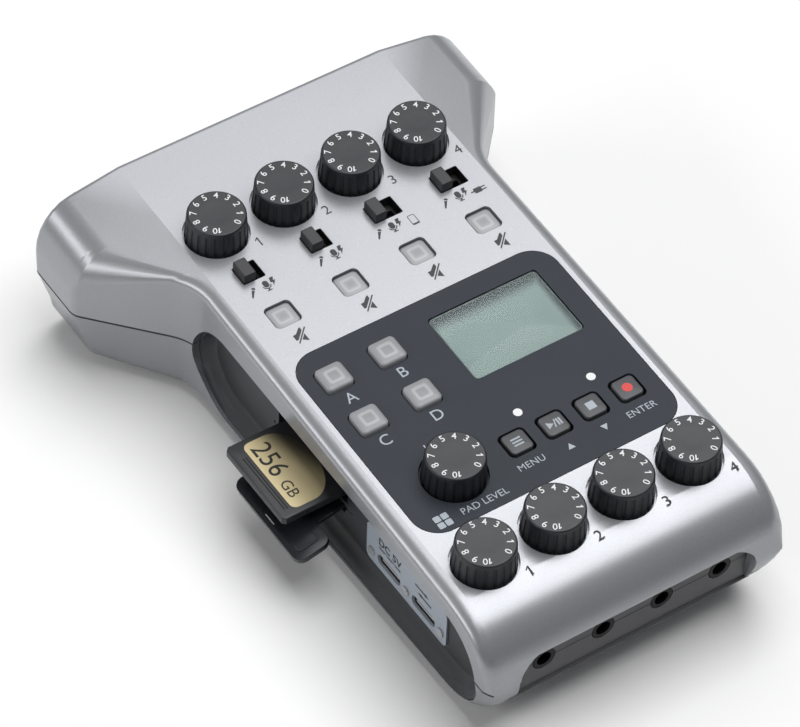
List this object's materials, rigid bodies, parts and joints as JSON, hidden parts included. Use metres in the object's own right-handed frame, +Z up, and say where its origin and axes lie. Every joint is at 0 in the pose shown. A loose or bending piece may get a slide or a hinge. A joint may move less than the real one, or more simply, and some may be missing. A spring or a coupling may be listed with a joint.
{
  "type": "podcast recorder",
  "caption": "Hand-held podcast recorder with a T-shaped case, fluted dial knobs, slide switches, sound pads, a small display, a memory card slot and microphone sockets at the back.",
  "frame": {"origin": "on the table under the middle of the recorder", "axes": "+Y from the nose to the microphone sockets, +Z up"},
  "size_m": [0.1144, 0.1576, 0.0469],
  "materials": {
    "silver_case": "satin metallic",
    "dark_panel": "matte",
    "clear_lens": "clear",
    "display": "matte grey green",
    "board": "satin",
    "inner_metal": "satin",
    "contact": "satin",
    "light": "translucent",
    "steel_plate": "brushed",
    "screw": "satin",
    "black_plastic": "matte",
    "knob": "satin",
    "clear_key": "translucent satin",
    "dark_key": "satin",
    "cell": "printed foil",
    "rubber": "matte",
    "card": "satin"
  },
  "bodies": {
    "case": {"upper_case": "silver_case", "lower_case": "silver_case", "left_side_panel": "dark_panel", "right_side_panel": "dark_panel", "control_panel": "dark_panel", "display_window": "clear_lens", "display_module": "display", "control_board": "board", "main_board": "board", "potentiometers": "inner_metal", "switch_bodies": "inner_metal", "key_contacts": "contact", "light_pipes": "light", "connector_plate": "steel_plate", "usb_sockets": "inner_metal", "plate_screws": "screw", "headphone_sockets": "black_plastic", "phone_socket": "black_plastic", "card_socket": "inner_metal", "rear_panel": "dark_panel", "mic_shells": "black_plastic", "mic_inserts": "black_plastic", "battery_cells": "cell", "battery_contacts": "inner_metal", "feet": "rubber", "case_screws": "screw", "board_screws": "screw"},
    "gain_knob_1": {"gain_knob_1": "knob"},
    "gain_knob_2": {"gain_knob_2": "knob"},
    "gain_knob_3": {"gain_knob_3": "knob"},
    "gain_knob_4": {"gain_knob_4": "knob"},
    "phones_knob_1": {"phones_knob_1": "knob"},
    "phones_knob_2": {"phones_knob_2": "knob"},
    "phones_knob_3": {"phones_knob_3": "knob"},
    "phones_knob_4": {"phones_knob_4": "knob"},
    "level_knob": {"level_knob": "knob"},
    "input_switch_1": {"input_switch_1": "black_plastic"},
    "input_switch_2": {"input_switch_2": "black_plastic"},
    "input_switch_3": {"input_switch_3": "black_plastic"},
    "input_switch_4": {"input_switch_4": "black_plastic"},
    "mute_button_1": {"mute_button_1": "clear_key"},
    "mute_button_2": {"mute_button_2": "clear_key"},
    "mute_button_3": {"mute_button_3": "clear_key"},
    "mute_button_4": {"mute_button_4": "clear_key"},
    "pad_a": {"pad_a": "clear_key"},
    "pad_b": {"pad_b": "clear_key"},
    "pad_c": {"pad_c": "clear_key"},
    "pad_d": {"pad_d": "clear_key"},
    "menu_key": {"menu_key": "dark_key"},
    "play_key": {"play_key": "dark_key"},
    "stop_key": {"stop_key": "dark_key"},
    "record_key": {"record_key": "dark_key"},
    "memory_card": {"memory_card": "card"},
    "card_cover": {"card_cover": "rubber"},
    "battery_cover": {"battery_cover": "silver_case"},
    "power_switch": {"power_switch": "black_plastic"},
    "mic_latch_1": {"mic_latch_1": "black_plastic"},
    "mic_latch_2": {"mic_latch_2": "black_plastic"},
    "mic_latch_3": {"mic_latch_3": "black_plastic"},
    "mic_latch_4": {"mic_latch_4": "black_plastic"}
  },
  "joints": [
    {"name": "gain_knob_1_turn", "type": "hinge", "parent": "case", "child": "gain_knob_1", "pos_m": [-0.02655, 0.0488, 0.04008], "axis": [0, -0.0401, 0.9992], "range_deg": [-150, 150]},
    {"name": "gain_knob_2_turn", "type": "hinge", "parent": "case", "child": "gain_knob_2", "pos_m": [-0.00885, 0.0488, 0.04008], "axis": [0, -0.0401, 0.9992], "range_deg": [-150, 150]},
    {"name": "gain_knob_3_turn", "type": "hinge", "parent": "case", "child": "gain_knob_3", "pos_m": [0.00885, 0.0488, 0.04008], "axis": [0, -0.0401, 0.9992], "range_deg": [-150, 150]},
    {"name": "gain_knob_4_turn", "type": "hinge", "parent": "case", "child": "gain_knob_4", "pos_m": [0.02655, 0.0488, 0.04008], "axis": [0, -0.0401, 0.9992], "range_deg": [-150, 150]},
    {"name": "phones_knob_1_turn", "type": "hinge", "parent": "case", "child": "phones_knob_1", "pos_m": [-0.02655, -0.05786, 0.0358], "axis": [0, -0.0401, 0.9992], "range_deg": [-150, 150]},
    {"name": "phones_knob_2_turn", "type": "hinge", "parent": "case", "child": "phones_knob_2", "pos_m": [-0.00885, -0.05786, 0.0358], "axis": [0, -0.0401, 0.9992], "range_deg": [-150, 150]},
    {"name": "phones_knob_3_turn", "type": "hinge", "parent": "case", "child": "phones_knob_3", "pos_m": [0.00885, -0.05786, 0.0358], "axis": [0, -0.0401, 0.9992], "range_deg": [-150, 150]},
    {"name": "phones_knob_4_turn", "type": "hinge", "parent": "case", "child": "phones_knob_4", "pos_m": [0.02655, -0.05786, 0.0358], "axis": [0, -0.0401, 0.9992], "range_deg": [-150, 150]},
    {"name": "level_knob_turn", "type": "hinge", "parent": "case", "child": "level_knob", "pos_m": [-0.0192, -0.03538, 0.0367], "axis": [0, -0.0401, 0.9992], "range_deg": [-150, 150]},
    {"name": "input_switch_1_slide", "type": "slide", "parent": "case", "child": "input_switch_1", "axis": [1, 0, 0], "range_m": [0, 0.0023]},
    {"name": "input_switch_2_slide", "type": "slide", "parent": "case", "child": "input_switch_2", "axis": [1, 0, 0], "range_m": [0, 0.0023]},
    {"name": "input_switch_3_slide", "type": "slide", "parent": "case", "child": "input_switch_3", "axis": [1, 0, 0], "range_m": [0, 0.004]},
    {"name": "input_switch_4_slide", "type": "slide", "parent": "case", "child": "input_switch_4", "axis": [1, 0, 0], "range_m": [0, 0.004]},
    {"name": "mute_button_1_press", "type": "slide", "parent": "case", "child": "mute_button_1", "axis": [0, 0.0401, -0.9992], "range_m": [0, 0.0005], "stiffness_N_per_m": 400},
    {"name": "mute_button_2_press", "type": "slide", "parent": "case", "child": "mute_button_2", "axis": [0, 0.0401, -0.9992], "range_m": [0, 0.0005], "stiffness_N_per_m": 400},
    {"name": "mute_button_3_press", "type": "slide", "parent": "case", "child": "mute_button_3", "axis": [0, 0.0401, -0.9992], "range_m": [0, 0.0005], "stiffness_N_per_m": 400},
    {"name": "mute_button_4_press", "type": "slide", "parent": "case", "child": "mute_button_4", "axis": [0, 0.0401, -0.9992], "range_m": [0, 0.0005], "stiffness_N_per_m": 400},
    {"name": "pad_a_press", "type": "slide", "parent": "case", "child": "pad_a", "axis": [0, 0.0401, -0.9992], "range_m": [0, 0.0005], "stiffness_N_per_m": 400},
    {"name": "pad_b_press", "type": "slide", "parent": "case", "child": "pad_b", "axis": [0, 0.0401, -0.9992], "range_m": [0, 0.0005], "stiffness_N_per_m": 400},
    {"name": "pad_c_press", "type": "slide", "parent": "case", "child": "pad_c", "axis": [0, 0.0401, -0.9992], "range_m": [0, 0.0005], "stiffness_N_per_m": 400},
    {"name": "pad_d_press", "type": "slide", "parent": "case", "child": "pad_d", "axis": [0, 0.0401, -0.9992], "range_m": [0, 0.0005], "stiffness_N_per_m": 400},
    {"name": "menu_key_press", "type": "slide", "parent": "case", "child": "menu_key", "axis": [0, 0.0401, -0.9992], "range_m": [0, 0.0005], "stiffness_N_per_m": 400},
    {"name": "play_key_press", "type": "slide", "parent": "case", "child": "play_key", "axis": [0, 0.0401, -0.9992], "range_m": [0, 0.0005], "stiffness_N_per_m": 400},
    {"name": "stop_key_press", "type": "slide", "parent": "case", "child": "stop_key", "axis": [0, 0.0401, -0.9992], "range_m": [0, 0.0005], "stiffness_N_per_m": 400},
    {"name": "record_key_press", "type": "slide", "parent": "case", "child": "record_key", "axis": [0, 0.0401, -0.9992], "range_m": [0, 0.0005], "stiffness_N_per_m": 400},
    {"name": "memory_card_slide", "type": "slide", "parent": "case", "child": "memory_card", "axis": [1, 0, 0], "range_m": [-0.006, 0.0135]},
    {"name": "card_cover_hinge", "type": "hinge", "parent": "case", "child": "card_cover", "pos_m": [-0.0335, -0.0035, 0.0166], "axis": [0, 1, 0], "range_deg": [-43, 15]},
    {"name": "battery_cover_hinge", "type": "hinge", "parent": "case", "child": "battery_cover", "pos_m": [0, 0.01265, 0.00285], "axis": [1, 0, 0], "range_deg": [-85, 0]},
    {"name": "power_switch_slide", "type": "slide", "parent": "case", "child": "power_switch", "axis": [0, 1, 0], "range_m": [-0.002, 0.002]},
    {"name": "mic_latch_1_press", "type": "slide", "parent": "case", "child": "mic_latch_1", "axis": [0, -1, 0], "range_m": [0, 0.0012], "stiffness_N_per_m": 400},
    {"name": "mic_latch_2_press", "type": "slide", "parent": "case", "child": "mic_latch_2", "axis": [0, -1, 0], "range_m": [0, 0.0012], "stiffness_N_per_m": 400},
    {"name": "mic_latch_3_press", "type": "slide", "parent": "case", "child": "mic_latch_3", "axis": [0, -1, 0], "range_m": [0, 0.0012], "stiffness_N_per_m": 400},
    {"name": "mic_latch_4_press", "type": "slide", "parent": "case", "child": "mic_latch_4", "axis": [0, -1, 0], "range_m": [0, 0.0012], "stiffness_N_per_m": 400}
  ]
}
